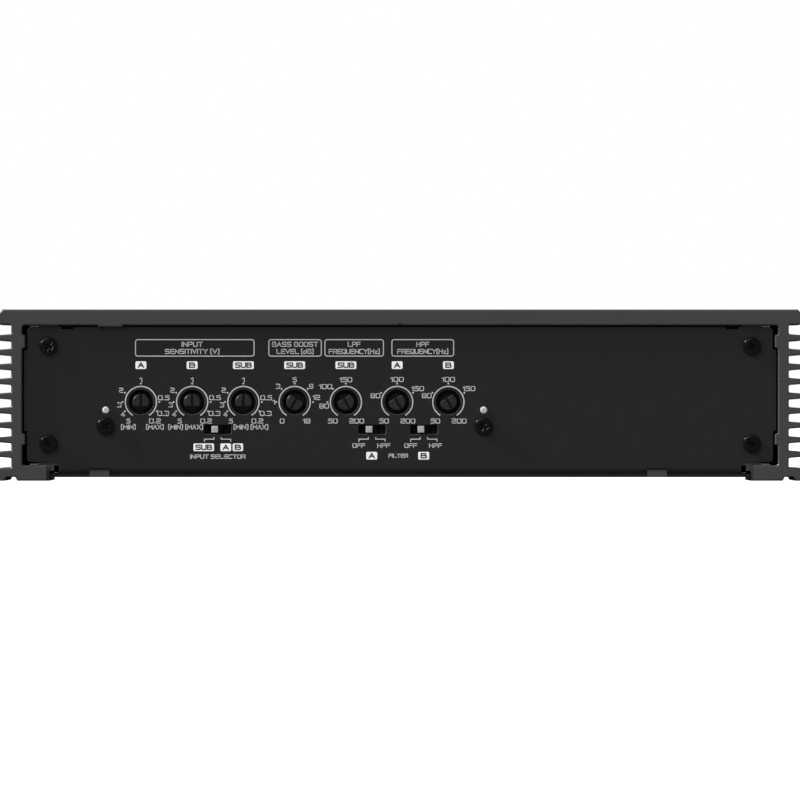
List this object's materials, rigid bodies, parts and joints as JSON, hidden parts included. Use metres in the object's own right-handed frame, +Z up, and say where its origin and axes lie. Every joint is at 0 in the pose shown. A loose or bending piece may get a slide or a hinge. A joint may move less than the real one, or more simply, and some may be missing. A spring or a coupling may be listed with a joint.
{
  "type": "car amplifier",
  "caption": "Car amplifier: finned aluminium heatsink body, recessed control end with rotary level and filter controls and slide switches, terminals and fuses at the rear.",
  "frame": {"origin": "middle of the footprint, on the surface the feet stand on", "axes": "+X to the right and +Z up as seen from the control end, which faces -Y; +X is the long way across the fins"},
  "size_m": [0.283, 0.222, 0.06],
  "materials": {
    "anodised_aluminium": "satin anodised dark grey",
    "black_sheet": "fine matt black powder coat",
    "black_screw": "black oxide, semi-gloss",
    "white_moulding": "moulded",
    "circuit_board": "solder mask",
    "pot_plastic": "moulded",
    "shaft_plastic": "satin moulded",
    "black_plastic": "moulded",
    "slider_plastic": "satin moulded",
    "insulation": "thin film",
    "bare_aluminium": "milled",
    "zinc_steel": "zinc plated",
    "silicone_pad": "matt",
    "foam": "closed-cell foam",
    "ferrite": "dark ceramic",
    "copper_wire": "enamelled copper",
    "capacitor_sleeve": "shrink sleeve",
    "film_plastic": "dipped",
    "nickel": "nickel plated",
    "led_lens": "diffused lens",
    "fuse_amber": "translucent moulded",
    "fuse_green": "translucent moulded"
  },
  "bodies": {
    "chassis": {"heatsink": "anodised_aluminium", "control_panel": "black_sheet", "terminal_panel": "black_sheet", "bottom_plate": "black_sheet", "control_panel_screws": "black_screw", "control_bracket_screws": "black_screw", "terminal_panel_screws": "black_screw", "bottom_plate_screws": "black_screw", "control_bracket": "white_moulding", "rca_insulators": "white_moulding", "control_board": "circuit_board", "main_board": "circuit_board", "driver_board": "circuit_board", "pot_bodies": "pot_plastic", "switch_housings": "black_plastic", "control_chips": "black_plastic", "board_connector": "black_plastic", "rca_block": "black_plastic", "speaker_level_socket": "black_plastic", "remote_jack": "black_plastic", "speaker_terminal_block": "black_plastic", "power_terminal_block": "black_plastic", "fuse_holder": "black_plastic", "output_transistors": "black_plastic", "supply_transistors": "black_plastic", "insulation_sheet": "insulation", "left_heat_spreader": "bare_aluminium", "right_heat_spreader": "bare_aluminium", "heat_spreader_screws": "zinc_steel", "clamp_bars": "zinc_steel", "clamp_screws": "zinc_steel", "insulating_pads": "silicone_pad", "foam_strip": "foam", "transformer_core": "ferrite", "inductor_cores": "ferrite", "transformer_winding": "copper_wire", "inductor_windings": "copper_wire", "supply_capacitors": "capacitor_sleeve", "rail_capacitors": "capacitor_sleeve", "signal_capacitors": "capacitor_sleeve", "film_capacitors": "film_plastic", "rca_sleeves": "nickel", "rca_contacts": "nickel", "speaker_terminal_plates": "nickel", "speaker_terminal_screws": "nickel", "power_terminal_plates": "nickel", "power_terminal_screws": "nickel", "power_led": "led_lens"},
    "input_a_shaft": {"input_a_shaft": "shaft_plastic"},
    "input_b_shaft": {"input_b_shaft": "shaft_plastic"},
    "input_sub_shaft": {"input_sub_shaft": "shaft_plastic"},
    "bass_boost_shaft": {"bass_boost_shaft": "shaft_plastic"},
    "low_pass_shaft": {"low_pass_shaft": "shaft_plastic"},
    "high_pass_a_shaft": {"high_pass_a_shaft": "shaft_plastic"},
    "high_pass_b_shaft": {"high_pass_b_shaft": "shaft_plastic"},
    "input_selector_slider": {"input_selector_slider": "slider_plastic"},
    "filter_a_slider": {"filter_a_slider": "slider_plastic"},
    "filter_b_slider": {"filter_b_slider": "slider_plastic"},
    "lower_fuse": {"lower_fuse": "fuse_amber"},
    "upper_fuse": {"upper_fuse": "fuse_green"}
  },
  "joints": [
    {"name": "input_a_level", "type": "hinge", "parent": "chassis", "child": "input_a_shaft", "pos_m": [-0.0907, -0.109, 0.0276], "axis": [0, 1, 0], "range_deg": [-150, 150]},
    {"name": "input_b_level", "type": "hinge", "parent": "chassis", "child": "input_b_shaft", "pos_m": [-0.07276, -0.109, 0.0276], "axis": [0, 1, 0], "range_deg": [-150, 150]},
    {"name": "input_sub_level", "type": "hinge", "parent": "chassis", "child": "input_sub_shaft", "pos_m": [-0.05482, -0.109, 0.0276], "axis": [0, 1, 0], "range_deg": [-150, 150]},
    {"name": "bass_boost_level", "type": "hinge", "parent": "chassis", "child": "bass_boost_shaft", "pos_m": [-0.03688, -0.109, 0.0276], "axis": [0, 1, 0], "range_deg": [0, 300]},
    {"name": "low_pass_frequency", "type": "hinge", "parent": "chassis", "child": "low_pass_shaft", "pos_m": [-0.01894, -0.109, 0.0276], "axis": [0, 1, 0], "range_deg": [-300, 0]},
    {"name": "high_pass_a_frequency", "type": "hinge", "parent": "chassis", "child": "high_pass_a_shaft", "pos_m": [-0.001, -0.109, 0.0276], "axis": [0, 1, 0], "range_deg": [-300, 0]},
    {"name": "high_pass_b_frequency", "type": "hinge", "parent": "chassis", "child": "high_pass_b_shaft", "pos_m": [0.01694, -0.109, 0.0276], "axis": [0, 1, 0], "range_deg": [-300, 0]},
    {"name": "input_selector", "type": "slide", "parent": "chassis", "child": "input_selector_slider", "axis": [1, 0, 0], "range_m": [0, 0.002]},
    {"name": "filter_a_switch", "type": "slide", "parent": "chassis", "child": "filter_a_slider", "axis": [1, 0, 0], "range_m": [0, 0.002]},
    {"name": "filter_b_switch", "type": "slide", "parent": "chassis", "child": "filter_b_slider", "axis": [1, 0, 0], "range_m": [0, 0.002]},
    {"name": "lower_fuse_pull", "type": "slide", "parent": "chassis", "child": "lower_fuse", "axis": [0, 1, 0], "range_m": [0, 0.02]},
    {"name": "upper_fuse_pull", "type": "slide", "parent": "chassis", "child": "upper_fuse", "axis": [0, 1, 0], "range_m": [0, 0.02]}
  ]
}
